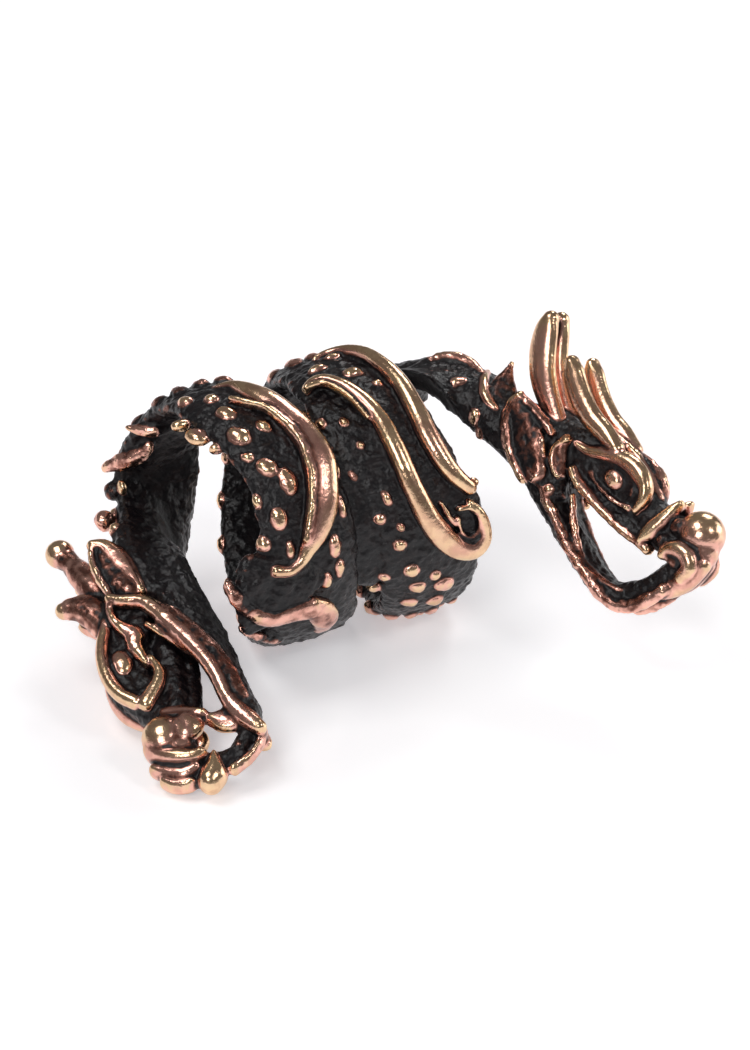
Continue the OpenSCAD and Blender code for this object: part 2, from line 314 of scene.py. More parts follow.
def band():
    """The bare band on the strip, a little uneven, narrowed at its ends where the necks take over."""
    rows = []
    for turn in BAND_TURNS:
        uneven = 0.12 * math.sin(turn * 0.11) + 0.08 * math.sin(turn * 0.31 + 1)
        past = max(NARROWS_BELOW - turn, turn - NARROWS_ABOVE)
        tail = 1 - 0.85 * float(np.clip(past / NARROWING, 0, 1))
        half_wide = (float(band_width(turn)) / 2 + uneven * 0.4) * tail
        rows.append((turn * STRIP_STEP, uneven * 0.5, BAND_MIDDLE_R, half_wide, BAND_HALF_THICK * tail))
    return draw_out(rows, up=OUT_OF_STRIP, steps=len(rows) - 1, sides=20, rounded=False)


# Crests on the band, each row being turn, place along the bore, radius, half width and half height.
FIRST_CREST = [
    (-16, -6.16, 7.4, 0.2, 0.3), (-11.9, -5.51, 7.55, 0.3, 0.4), (-4.1, -5.09, 7.7, 0.52, 0.45),
    (5.3, -4.52, 7.75, 0.7, 0.5), (16.1, -4.02, 7.75, 0.82, 0.5), (25.9, -3.58, 7.75, 0.9, 0.5),
    (35.7, -3.3, 7.75, 0.93, 0.5), (45.7, -3.34, 7.75, 0.95, 0.5), (55.4, -3.64, 7.75, 0.95, 0.5),
    (63.1, -4.06, 7.75, 0.88, 0.5), (70.2, -4.6, 7.75, 0.7, 0.46), (75.5, -5.05, 7.7, 0.44, 0.42),
    (79.9, -5.52, 7.65, 0.34, 0.4), (82.4, -6.22, 7.65, 0.32, 0.38), (81.3, -6.95, 7.65, 0.32, 0.36),
]
FIRST_LIP = [
    (2, -6.3, 7.8, 0.16, 0.3), (6.9, -5.78, 7.95, 0.18, 0.3), (13.3, -4.99, 8.02, 0.2, 0.3),
    (22.6, -4.36, 8.02, 0.26, 0.32), (32.5, -3.98, 8.02, 0.27, 0.32), (42.3, -3.97, 8.02, 0.27, 0.32),
    (52.4, -4.25, 8.02, 0.26, 0.32), (61.4, -4.68, 8.0, 0.25, 0.32), (70.5, -5.15, 7.95, 0.22, 0.3),
]
FRONT_CREST = [
    (364, -1.9, 7.5, 0.26, 0.32), (362.5, -1.4, 7.6, 0.34, 0.4), (363.8, -0.79, 7.7, 0.38, 0.46),
    (371, -0.05, 7.75, 0.45, 0.5), (380.5, 0.56, 7.75, 0.5, 0.5), (390.5, 0.94, 7.75, 0.54, 0.5),
    (400.8, 1.14, 7.75, 0.56, 0.5), (412.5, 1.37, 7.75, 0.58, 0.5), (424.1, 1.72, 7.75, 0.62, 0.5),
    (435.1, 2.23, 7.75, 0.66, 0.52), (444.4, 2.97, 7.75, 0.7, 0.54), (451.5, 3.87, 7.75, 0.66, 0.54),
    (453.7, 4.8, 7.75, 0.6, 0.54), (450, 5.4, 7.75, 0.48, 0.5), (443.9, 5.5, 7.75, 0.36, 0.44),
    (437.5, 5.25, 7.75, 0.28, 0.4), (432.6, 4.75, 7.7, 0.2, 0.3),
]
FRONT_LIP = [
    (366, -2.1, 7.8, 0.14, 0.24), (365.9, -1.7, 7.9, 0.15, 0.26), (367, -1.15, 8.0, 0.14, 0.26),
    (372.1, -0.66, 8.02, 0.14, 0.26), (379.5, -0.22, 8.02, 0.14, 0.26), (389, 0.2, 7.95, 0.12, 0.24),
]
REAR_CREST = [
    (337.6, 0.2, 7.5, 0.16, 0.3), (336, 0.9, 7.6, 0.24, 0.36), (340, 1.8, 7.7, 0.32, 0.42),
    (351, 2.47, 7.75, 0.4, 0.48), (364, 2.83, 7.75, 0.46, 0.5), (375.6, 3.05, 7.75, 0.5, 0.5),
    (385.1, 3.11, 7.75, 0.54, 0.5), (394.6, 3.17, 7.75, 0.58, 0.5), (405.1, 3.35, 7.75, 0.6, 0.5),
    (414.4, 3.71, 7.75, 0.6, 0.5), (421.2, 4.23, 7.75, 0.54, 0.5), (426.2, 4.85, 7.7, 0.44, 0.46),
]
REAR_KNOB = [(424.9, 4.9, 7.3, 0.2, 0.2), (424.9, 5.25, 7.5, 0.3, 0.3)]
# A ring in the front crest's hook, its dull bed and a mark before it.
HOOK_RING = [
    (434.4, 4.05, 7.65, 0.13, 0.3), (434.4, 4.72, 7.7, 0.13, 0.3), (439.4, 5.12, 7.7, 0.13, 0.3),
    (445, 5.1, 7.7, 0.13, 0.3), (447.6, 4.6, 7.7, 0.13, 0.3), (444, 4.08, 7.7, 0.13, 0.3),
    (438, 3.95, 7.65, 0.13, 0.3),
]
HOOK_BED = [
    (422, 4.1, 6.9, 0.8, 0.5), (434, 4.5, 7.0, 1.15, 0.55), (446, 4.6, 7.0, 1.15, 0.55),
    (453, 4.2, 6.9, 0.7, 0.5),
]
HOOK_MARK = [
    (430, 3.1, 7.5, 0.1, 0.3), (435.9, 3.4, 7.6, 0.18, 0.32), (440.5, 3.75, 7.55, 0.12, 0.3),
]
# The collar behind the left neck: its rim, and its narrow end under the neck.
COLLAR_RIM = [
    (96.5, -8.6, 7.75, 0.4, 0.38), (100.8, -7.85, 7.95, 0.46, 0.42), (102.5, -7.0, 7.95, 0.5, 0.42),
    (101.9, -6.25, 7.95, 0.54, 0.44), (101.8, -5.5, 7.95, 0.64, 0.46), (103, -4.8, 7.9, 0.76, 0.48),
    (107, -4.25, 7.85, 0.86, 0.5), (112.5, -3.9, 7.75, 0.82, 0.5), (118.5, -3.8, 7.6, 0.6, 0.46),
    (122.5, -3.9, 7.5, 0.36, 0.38),
]
COLLAR_END = [
    (85, -9.6, 7.1, 0.3, 0.36), (88, -9.45, 7.4, 0.4, 0.4), (92, -9.15, 7.6, 0.46, 0.4),
    (97, -8.5, 7.75, 0.44, 0.4),
]
# A plate that flares out over the band down to the collar's rim.
COLLAR_PLATE = [
    (78, -8.2, 6.9, 0.9, 0.5), (83, -7.8, 7.15, 1.7, 0.5), (88, -7.4, 7.35, 2.3, 0.42),
    (94, -6.9, 7.6, 2.7, 0.36), (100, -6.4, 7.75, 2.8, 0.32),
]
# The band's edge below the collar.
BOTTOM_EDGE = [
    (114, -8.5, 7.0, 0.2, 0.3), (121.5, -7.4, 7.25, 0.3, 0.3), (130.4, -5.9, 7.25, 0.3, 0.3),
    (142, -4.3, 7.1, 0.2, 0.3),
]
# A flange low on the band's flank, in the shade between the turns.
FLANGE = [
    (378, -1.6, 6.5, 0.8, 0.4), (395, -1.4, 6.5, 1.1, 0.42), (412, -1.2, 6.5, 1.25, 0.42),
    (430, -1.1, 6.5, 1.2, 0.42), (448, -1.1, 6.5, 1.0, 0.42), (466, -0.9, 6.5, 0.8, 0.4),
]


def on_band(rows, bright=1.0, steps=None, sides=12):
    """A bar of relief along the band."""
    rows = [strip_row(*row) for row in rows]
    return buffed(draw_out(rows, up=OUT_OF_STRIP, steps=steps, sides=sides), bright)


# Scales that show in front, each row being turn, place along the bore, half width and half length.
SCALES_IN_FRONT = [
    (8.9, -8.62, 0.56, 0.69), (6.9, -6.88, 0.47, 0.58), (20.7, -6.87, 0.56, 0.64),
    (19.8, -5.41, 0.36, 0.42), (38.5, -6.11, 0.52, 0.58), (46, -5.27, 0.48, 0.76), (60.4, -6.25, 0.44, 0.6),
    (70.6, -7.19, 0.42, 0.54), (50.8, -7.02, 0.28, 0.44), (-5.3, -7.04, 0.4, 0.4), (-3.2, -9.02, 0.5, 0.36),
    (19.4, -8.05, 0.36, 0.3), (31.4, -6.86, 0.32, 0.32), (78, -8.1, 0.24, 0.3), (75, -5.94, 0.22, 0.56),
    (77.5, -3.37, 0.36, 0.66), (88, -3.15, 0.28, 0.56), (91.6, -4.05, 0.38, 0.49), (87, -4.87, 0.3, 0.46),
    (62, -2.59, 0.26, 0.66), (44.9, -2.25, 0.24, 0.64), (31.9, -2.5, 0.26, 0.46), (92, -5.9, 0.2, 0.3),
    (-14, -8.1, 0.4, 0.5), (350.4, -0.4, 0.56, 0.34), (361.3, 1.04, 0.52, 0.4), (371, 1.95, 0.26, 0.24),
    (341.7, 1.0, 0.5, 0.3), (398.6, -0.54, 0.2, 0.22), (423.1, 0.15, 0.24, 0.38),
    (431.6, -0.35, 0.36, 0.32), (444.8, 0.54, 0.36, 0.34), (446.2, -0.62, 0.3, 0.36),
    (458.6, 1.26, 0.44, 0.44), (462.2, -0.13, 0.42, 0.34), (469.5, 1.75, 0.48, 0.4), (472, 3.4, 0.6, 0.54),
    (473, -0.3, 0.46, 0.34), (481.4, 1.6, 0.52, 0.36), (459, -1.53, 0.24, 0.24), (425.6, -1.12, 0.22, 0.3),
    (436.8, 0.66, 0.22, 0.24), (484, 3.2, 0.5, 0.4), (464, 2.7, 0.34, 0.34), (410, -1.3, 0.3, 0.4),
    (395, -1.9, 0.3, 0.4), (382, -1.9, 0.3, 0.4), (372, -2.6, 0.3, 0.4), (386, -0.9, 0.24, 0.3),
]


def scale_spots():
    """Turn, place along the bore, half width, half length and brightness of every scale."""
    spots = [(*row, 0.85) for row in SCALES_IN_FRONT]
    for k, turn in enumerate(SCALE_ROWS):
        if any(low < turn < high for low, high in IN_FRONT):
            continue
        bright = 0.3 if BY_LEFT_NECK[0] < turn < BY_LEFT_NECK[1] else 0.6
        middle = float(band_x(turn))
        reach = float(band_width(turn)) / 2
        for j in range(-2, 3):
            # Each scale is a little out of line and out of size.
            off = (j + 0.5 * (k % 2)) * SCALE_GAP
            if abs(off) <= reach - 0.1:
                spots.append((turn + 1.2 * math.sin(3.1 * k + 1.7 * j),
                              middle + off + 0.08 * math.sin(2.3 * k + j),
                              0.46 + 0.05 * math.sin(5 * k + 3 * j), 0.56, bright))
    return spots


def scales():
    """One scale is modelled and copied over the back of the band."""
    scale = ball((0, 0, 0), (1, 1, 1), sides=12)
    put_down()
    copies = []
    for turn, x, wide, long, bright in scale_spots():
        off = x - float(band_x(turn))
        # It leans with the band's back, and stands higher the larger it is.
        slope = float(back_r(turn, x + 0.05)) - float(back_r(turn, x - 0.05))
        lean = math.atan2(slope, 0.1)
        copy = scale.copy()
        copy.data = scale.data.copy()
        bpy.context.collection.objects.link(copy)
        copy.data.transform(
            Matrix.Translation((turn * STRIP_STEP, off, float(back_r(turn, x))))
            @ Matrix.Rotation(lean * 0.8, 4, "X")
            @ Matrix.Diagonal((1.12 * long, 1.16 * wide, 0.26 + 0.34 * min(wide, long), 1)))
        copies.append(buffed(copy, bright))
    bpy.data.objects.remove(scale)
    return joined(copies, "scales")


def coil():
    """The band with its crests, collar and scales, wound round the bore."""
    pieces = [
        band(),
        on_band(FIRST_CREST, bright=1.25, steps=45, sides=16),
        on_band(FIRST_LIP, bright=0.8, steps=32),
        on_band(FRONT_CREST, bright=1.15, steps=52, sides=16),
        on_band(FRONT_LIP),
        on_band(REAR_CREST, bright=1.15, steps=40, sides=16),
        on_band(HOOK_RING, bright=0.7),
        on_band(HOOK_MARK, bright=0.8),
        on_band(HOOK_BED, bright=0),
        on_band(COLLAR_RIM, bright=0.78, steps=40, sides=14),
        on_band(COLLAR_END, bright=0.22, steps=12, sides=14),
        on_band(COLLAR_PLATE, bright=0, steps=12, sides=20),
        on_band(BOTTOM_EDGE, bright=0.25),
        on_band(FLANGE, bright=0, steps=20, sides=14),
        scales(),
        on_band(REAR_KNOB, sides=10),
    ]
    return wound(joined(pieces, "coil"))


def head_matrix(start, nose, crown):
    """A head's own axes: X to the nose, Z to the crown."""
    x = Vector(nose).normalized()
    z = (Vector(crown) - Vector(crown).dot(x) * x).normalized()
    return Matrix.Translation(start) @ Matrix((x, z.cross(x), z)).transposed().to_4x4()


LEFT_PLACE = head_matrix((-11.65, 0.1, -3.2), (-0.19, -0.95, -0.27), (-0.937, 0.255, -0.238))
RIGHT_PLACE = head_matrix((11.5, -2.7, 1.7), (0.33, -0.94, -0.08), (0.466, 0.089, 0.88))


def head_row(place, reach, rise, roll, wide, thick, side=0):
    """A neck's row in a head's own axes: reach, rise, roll of its back, half width and half thickness."""
    at = place @ Vector((reach, side, rise))
    turn = math.radians(roll)
    back = place.to_3x3() @ Vector((0, math.sin(turn), math.cos(turn)))
    return (*at, *back, wide, thick)


# Necks: place, direction of the back, half width and half thickness, from the band to the chin.
LEFT_NECK = [
    (-7.5, 6.8, 1.4, 0, 1, 0.2, 2.4, 0.75), (-7.8, 6.85, -0.6, 0, 1, -0.1, 2.6, 0.9),
    (-8.2, 6.1, -2.3, -0.3, 0.95, -0.3, 2.75, 1.1), (-9.1, 4.5, -3.3, -0.45, 0.75, -0.5, 2.7, 1.3),
] + [head_row(LEFT_PLACE, *row) for row in (
    (-1.8, -1.3, -48, 2.6, 1.4), (1, -1.8, -40, 2.3, 1.3), (4, -2.7, -28, 1.9, 0.95),
    (7, -3.3, -15, 1.6, 0.8), (9.4, -3.7, -5, 1.3, 0.75), (11.3, -3.9, 0, 1.0, 0.65),
    (12.8, -2.9, 0, 0.65, 0.55), (13.5, -1.5, 0, 0.6, 0.55), (13.4, -0.1, 0, 0.5, 0.45),
)]
RIGHT_NECK = [
    (6.7, 6.6, 0.4, 0, 1, 0.1, 2.3, 0.75), (6.9, 6.2, 2, 0, 0.9, 0.4, 2.35, 0.9),
    (7.6, 4.6, 3.1, 0, 0.6, 0.8, 2.3, 1.05), (8.7, 2.2, 3.4, 0.1, 0.3, 0.95, 2.35, 1.35),
    (10, -0.2, 2.5, 0.3, 0.2, 0.93, 2.35, 1.7),
] + [head_row(RIGHT_PLACE, *row) for row in (
    (0.6, -1.1, 10, 2.2, 1.6), (3.2, -2.75, 5, 1.45, 0.95, -0.35), (5.4, -3.95, 0, 1.2, 0.75, -0.4),
    (7.2, -4.8, 0, 1.15, 0.7, -0.35), (8.4, -5.0, 0, 1.1, 0.7, -0.35), (10, -4.2, 0, 0.95, 0.65, -0.35),
    (11.2, -2.7, 0, 0.85, 0.65, -0.3), (11.9, -0.8, 0, 0.75, 0.5, -0.1),
)]


def neck(rows):
    """The body runs on from the coil through the neck and makes the lower jaw."""
    return draw_out([(*r[:3], r[6], r[7]) for r in rows], ups=[r[3:6] for r in rows], steps=48, sides=20,
                    flat=0.75, rounded=False)


def leaf(rows, way, bright=1.0):
    """A leaf or curl of wax whose width lies along the way given."""
    return buffed(draw_out(rows, side=way), bright)


def neck_leaves():
    """Pointed leaves, knobs and ridges that stand along the backs of the necks."""
    lefts = [
        # A long leaf and a shorter one behind it.
        leaf([(-6.4, 5.35, 2.4, 0.3, 0.3), (-7.65, 4.8, 3.35, 0.36, 0.4), (-8.55, 4.8, 3.65, 0.42, 0.45),
              (-9.3, 5.2, 3.65, 0.38, 0.36), (-9.9, 5.9, 3.55, 0.15, 0.18)], way=(0, 0, 1), bright=0.55),
        leaf([(-8.7, 5.45, 2.3, 0.36, 0.3), (-9.25, 5.7, 1.75, 0.5, 0.4), (-9.85, 6.1, 1.35, 0.54, 0.45),
              (-10.3, 6.7, 0.85, 0.48, 0.42), (-10.75, 7.1, 0.5, 0.32, 0.32)], way=(0, 0, 1), bright=0.55),
        # Knobs between the leaves and the ear.
        knob((-10.2, 6.1, -0.4), (0.28, 0.4, 0.5), bright=0.9),
        knob((-10.5, 6.7, -0.9), (0.5, 0.6, 0.6), bright=0.05),
        knob((-10.8, 5.7, -1.95), (0.36, 0.5, 0.55), bright=0.95),
        knob((-11.7, 5.2, -1.7), (0.6, 0.62, 0.62), bright=0.4),
        knob((-11.8, 3.4, -1.3), (0.36, 0.5, 0.5), bright=0.6),
    ]
    rights = [
        # A curl over the start of the neck.
        leaf([(6.6, 3.6, 4.3, 0.3, 0.3), (7.7, 3.75, 4.5, 0.4, 0.4), (8.9, 3.5, 4.6, 0.45, 0.45),
              (9.6, 2.5, 4.55, 0.4, 0.4), (9.73, 1.4, 4.5, 0.25, 0.3)], way=(1, 0, 0), bright=0.8),
        # Knobs beside and under the curl.
        knob((6.65, 1.6, 4.2), (0.45, 0.45, 0.35), bright=0.8),
        knob((8.03, 0.9, 4.65), (0.62, 0.42, 0.3), bright=0.75),
        knob((7.25, 0.2, 3.75), (0.5, 0.45, 0.5), bright=0.95),
        knob((8.1, -1.15, 3.45), (0.35, 0.4, 0.6), bright=0.7),
        knob((8.3, -1.45, 2.65), (0.3, 0.35, 0.5), bright=0.55),
        knob((7.6, 1.9, 4.5), (0.7, 0.6, 0.4), bright=0.15),
        # A thin curl nearer the head.
        leaf([(10.3, 1.7, 4.3, 0.2, 0.2), (9.55, 0.6, 4.6, 0.26, 0.28), (9.07, -0.3, 4.5, 0.3, 0.3),
              (9.0, -0.96, 4.22, 0.3, 0.3), (9.2, -1.5, 3.95, 0.2, 0.2)], way=(1, 0, 0)),
        # A pointed leaf with a bright tip.
        leaf([(9.9, -0.9, 3.9, 1.0, 0.5), (10.2, -0.45, 4.35, 0.85, 0.45), (10.55, -0.1, 4.9, 0.5, 0.34),
              (10.9, 0.1, 5.35, 0.24, 0.22)], way=(1, 0, 0), bright=0.3),
        leaf([(10.8, 0.05, 5.2, 0.2, 0.2), (11.0, 0.15, 5.5, 0.18, 0.18)], way=(1, 0, 0)),
    ]
    return lefts + rights


# Heads are modelled in their own axes: reach to the nose, side, and rise to the crown.
SIDE = (0, 1, 0)


def rim(points, side, depth=None, bright=1.0, sides=10):
    """A rounded rim on a head: points of reach, rise and half width. Side runs evenly over its values."""
    along = np.linspace(0, 1, len(points))
    out = np.interp(along, np.linspace(0, 1, np.size(side)), np.atleast_1d(side))
    rows = [(reach, s, rise, depth or w, 1.1 * w) for (reach, rise, w), s in zip(points, out)]
    return buffed(draw_out(rows, side=SIDE, sides=sides), bright)


def mirrored(pieces, name):
    """The other flank's features, as a mirror of these."""
    half = joined(pieces, name)
    return finished(half, "MIRROR", use_axis=(False, True, False), use_clip=False, use_mirror_merge=False)


def skull(rows):
    """The dull core of a head, which its features stand on."""
    return buffed(draw_out(rows, side=SIDE, steps=24, sides=20), 0.16)


def left_head():
    """The head at the left end. Its nearer flank is the one with side above 0."""
    both = mirrored([
        # Brow round the eye.
        rim([(2.3, 2.3, 0.2), (3.16, 2.5, 0.33), (4.19, 2.9, 0.36), (5.48, 3.08, 0.38), (6.75, 2.96, 0.38),
             (7.74, 2.56, 0.38), (8.45, 1.92, 0.36)], side=(1.1, 1.15, 1.0), depth=0.5, bright=0.95),
        # Eye.
        ball((5.6, 1.1, 2.1), (0.9, 0.45, 0.62)),
        # Socket.
        rim([(2.6, 2.0, 0.7), (4.3, 2.4, 0.7), (6.0, 2.5, 0.7), (7.6, 2.0, 0.6)],
            side=0.6, depth=0.5, bright=0, sides=14),
        # Cheek curl.
        rim([(1.56, 1.8, 0.26), (2.35, 1.94, 0.24), (3.11, 1.82, 0.26), (3.79, 1.43, 0.36),
             (4.2, 1.05, 0.52), (4.8, 1.15, 0.44), (5.5, 1.0, 0.34), (6.22, 0.8, 0.2)],
            side=(1.6, 1.5, 1.2), depth=0.42, bright=0.85),
        # Strap from below the eye up behind the nose.
        rim([(6.0, 0.5, 0.18), (6.94, 0.22, 0.32), (7.67, 0.46, 0.38), (8.24, 0.93, 0.42),
             (8.8, 1.4, 0.44)], side=(1.2, 1.1), depth=0.42),
        # Ear leaf: its upper edge, its lower edge and its fill.
        rim([(-2.3, 1.95, 0.28), (-2.06, 1.36, 0.42), (-1.35, 0.92, 0.56), (-0.38, 0.57, 0.62),
             (0.64, 0.26, 0.5), (1.63, -0.02, 0.24)], side=(2.0, 1.85, 1.6), depth=0.44, bright=1.05),
        rim([(-2.3, 1.95, 0.2), (-1.43, 2.15, 0.22), (-0.33, 2.1, 0.22), (0.92, 1.84, 0.24),
             (1.58, 1.71, 0.2)], side=(1.95, 1.75), depth=0.36, bright=0.75),
        rim([(-1.9, 1.6, 0.3), (-0.77, 1.33, 0.62), (0.39, 1.0, 0.66), (1.55, 0.67, 0.5)],
            side=1.72, depth=0.45, bright=0.55),
        # Lobe beside the nose.
        ball((10.85, 0.75, -0.4), (0.95, 0.68, 0.95), sides=16, bright=1.2),
        # Lumps behind the lips.
        knob((12.8, 0.85, -0.75), (0.36, 0.3, 0.24), bright=0.8),
        knob((13.0, 0.8, -0.35), (0.3, 0.28, 0.22), bright=0.8),
        # Masses under the snout and the cheek.
        ball((10.4, 0.6, -0.35), (0.8, 0.6, 0.75), sides=16, bright=0.4),
        ball((3.4, 1.0, 0.6), (1.4, 0.6, 0.8), sides=16, bright=0.1),
    ], "left_flanks")
    middle = [
        # Long lip from the ear to the corner of the jaw.
        rim([(1.68, 1.78, 0.3), (2.13, 1.07, 0.34), (2.52, 0.14, 0.38), (3.32, -0.47, 0.46),
             (4.41, -1.01, 0.5), (5.5, -1.56, 0.5), (6.61, -2.04, 0.48), (7.77, -2.45, 0.43),
             (8.86, -2.72, 0.42), (9.94, -2.86, 0.42), (10.89, -3.16, 0.48), (11.82, -3.73, 0.5),
             (12.37, -4.1, 0.4)], side=(1.8, 1.95, 1.9, 1.7, 1.2, 0.8), depth=0.5, bright=0.9),
        # Its inner edge.
        rim([(4.0, 0.2, 0.16), (4.83, -0.5, 0.26), (5.61, -1.08, 0.26), (6.42, -1.6, 0.24),
             (7.1, -2.0, 0.16)], side=(1.7, 1.65, 1.5), depth=0.3, bright=0.75),
        # The dull flank under it.
        rim([(3.6, -0.9, 0.4), (4.6, -1.5, 0.55), (5.8, -2.1, 0.6), (7.2, -2.7, 0.6), (8.8, -3.2, 0.6),
             (10.4, -3.5, 0.5)], side=(1.95, 1.85, 1.2), depth=0.36, bright=0.46, sides=12),
        # Strap from the lip up to the muzzle.
        rim([(11.3, -3.3, 0.6), (11.2, -2.75, 0.76), (11.05, -2.2, 0.66), (10.85, -1.8, 0.36)],
            side=0.65, depth=0.55, bright=1.1),
        # Web between the chin and the jaw's front.
        rim([(13.0, -1.1, 0.4), (13.15, -1.9, 0.36), (13.4, -2.8, 0.4)],
            side=0, depth=0.5, bright=0, sides=12),
        # Underside of the snout.
        rim([(4.5, -1.0, 0.6), (6.0, -1.25, 0.6), (7.3, -1.15, 0.58), (8.5, -1.0, 0.55), (9.5, -0.8, 0.5)],
            side=0, depth=0.6, bright=0, sides=14),
        # The far side's lip, low on the jaw.
        rim([(1.68, 1.78, 0.3), (2.13, 1.07, 0.32), (2.7, -0.6, 0.33), (3.8, -1.9, 0.4), (5.2, -2.7, 0.4),
             (6.8, -3.2, 0.36), (8.4, -3.6, 0.34), (10.0, -3.8, 0.36), (11.6, -4.0, 0.42),
             (12.37, -4.1, 0.4)], side=(-1.8, -1.95, -1.8, -1.5, -1.1, -0.7), depth=0.45, bright=0.8),
        # Palate.
        rim([(2.4, -0.2, 0.8), (4.0, -0.5, 0.9), (5.4, -0.5, 0.9), (6.8, -0.4, 0.8), (8.2, -0.3, 0.75),
             (9.2, -0.2, 0.7)], side=0, depth=1.1, bright=0, sides=16),
        # Core of the head.
        skull([(-2.2, 0, 0.2, 1.6, 1.5), (0.5, 0, 0.6, 1.7, 1.75), (3, 0, 1.1, 1.4, 1.7),
               (5.5, 0, 1.55, 1.0, 1.45), (7.5, 0, 1.4, 0.95, 1.3), (9.0, 0, 0.9, 0.95, 1.05),
               (10.5, 0, 0.5, 0.95, 0.95), (12, 0, 0.4, 0.8, 1.0), (13.6, 0, 0.2, 0.6, 0.8)]),
        # Nose in three swellings that run together.
        ball((11.0, 0.5, 0.95), (1.3, 1.22, 1.28), sides=24, bright=1.2),
        ball((11.8, 0.45, 0.5), (1.0, 0.85, 0.95), sides=20, bright=1.2),
        ball((11.05, 0.75, 0.15), (0.95, 0.78, 0.85), sides=16, bright=1.2),
        # Wings of the nose, near and far.
        rim([(9.7, 0.5, 0.55), (10.0, -0.25, 0.6), (10.3, -0.95, 0.48), (10.45, -1.4, 0.3)],
            side=(0.6, 0.85), depth=0.55, bright=1.1),
        rim([(9.7, 0.5, 0.5), (9.9, -0.25, 0.5), (10.1, -0.7, 0.36)], side=-0.6, depth=0.5, bright=0.85),
        # Folded band under the nose.
        rim([(11.5, 1.95, 0.3), (12.0, 1.5, 0.44), (12.4, 0.95, 0.5), (12.75, 0.3, 0.5),
             (12.95, -0.3, 0.42), (12.9, -0.8, 0.28)],
            side=(0.15, 0.45, 0.4), depth=0.85, bright=1.1, sides=14),
        # Two lips.
        rim([(12.6, 1.95, 0.28), (13.0, 1.45, 0.38), (13.35, 0.9, 0.44), (13.6, 0.35, 0.42),
             (13.5, -0.3, 0.26)], side=(0, 0.25), depth=0.62, bright=0.95, sides=14),
        rim([(13.5, 1.6, 0.26), (13.85, 1.2, 0.34), (14.05, 0.8, 0.36), (14.2, 0.4, 0.3), (14.2, 0.1, 0.2)],
            side=(-0.1, 0.1), depth=0.55, bright=0.95, sides=14),
        # Chin.
        rim([(13.0, -1.4, 0.2), (13.5, -1.3, 0.46), (14.0, -1.1, 0.7), (14.4, -0.8, 0.64)],
            side=0.1, depth=0.85, bright=1.2, sides=16),
        # The mass behind the lips.
        ball((12.6, 0.15, 0.2), (1.3, 0.72, 1.05), sides=16, bright=0.35),
        # Edge of the jaw's front.
        rim([(12.18, -4.25, 0.24), (13.0, -3.85, 0.22), (13.7, -3.15, 0.22), (14.1, -2.2, 0.3)],
            side=0.15, depth=0.45, bright=0.75, sides=14),
        # Back horn and its knob.
        rim([(0.9, 2.1, 0.6), (-0.3, 2.45, 0.74), (-1.3, 2.8, 0.76), (-2.2, 3.12, 0.68), (-2.9, 3.42, 0.56),
             (-3.5, 3.7, 0.6)], side=(0.5, 0.3), bright=0.62, sides=14),
        ball((-3.85, 0.3, 3.85), (0.86, 0.8, 0.84), sides=20),
        # Front horn and its knob.
        rim([(2.6, 2.5, 0.7), (1.6, 2.8, 0.84), (0.95, 3.4, 0.78), (0.78, 4.05, 0.58)],
            side=(0.8, 0.95), bright=0.58, sides=14),
        ball((0.72, 0.92, 4.4), (0.52, 0.52, 0.52), sides=16, bright=0.95),
        # Shorter horns on the far side.
        rim([(0.3, 1.4, 0.55), (-0.8, 2.4, 0.55), (-2.2, 3.2, 0.45)],
            side=(-0.7, -1.1), bright=0.8, sides=12),
        rim([(2.2, 2.2, 0.55), (1.3, 2.9, 0.5), (0.6, 3.6, 0.4)],
            side=(-0.8, -1.0), bright=0.8, sides=12),
    ]
    head = joined([both] + middle, "left_head")
    head.data.transform(LEFT_PLACE)
    return head


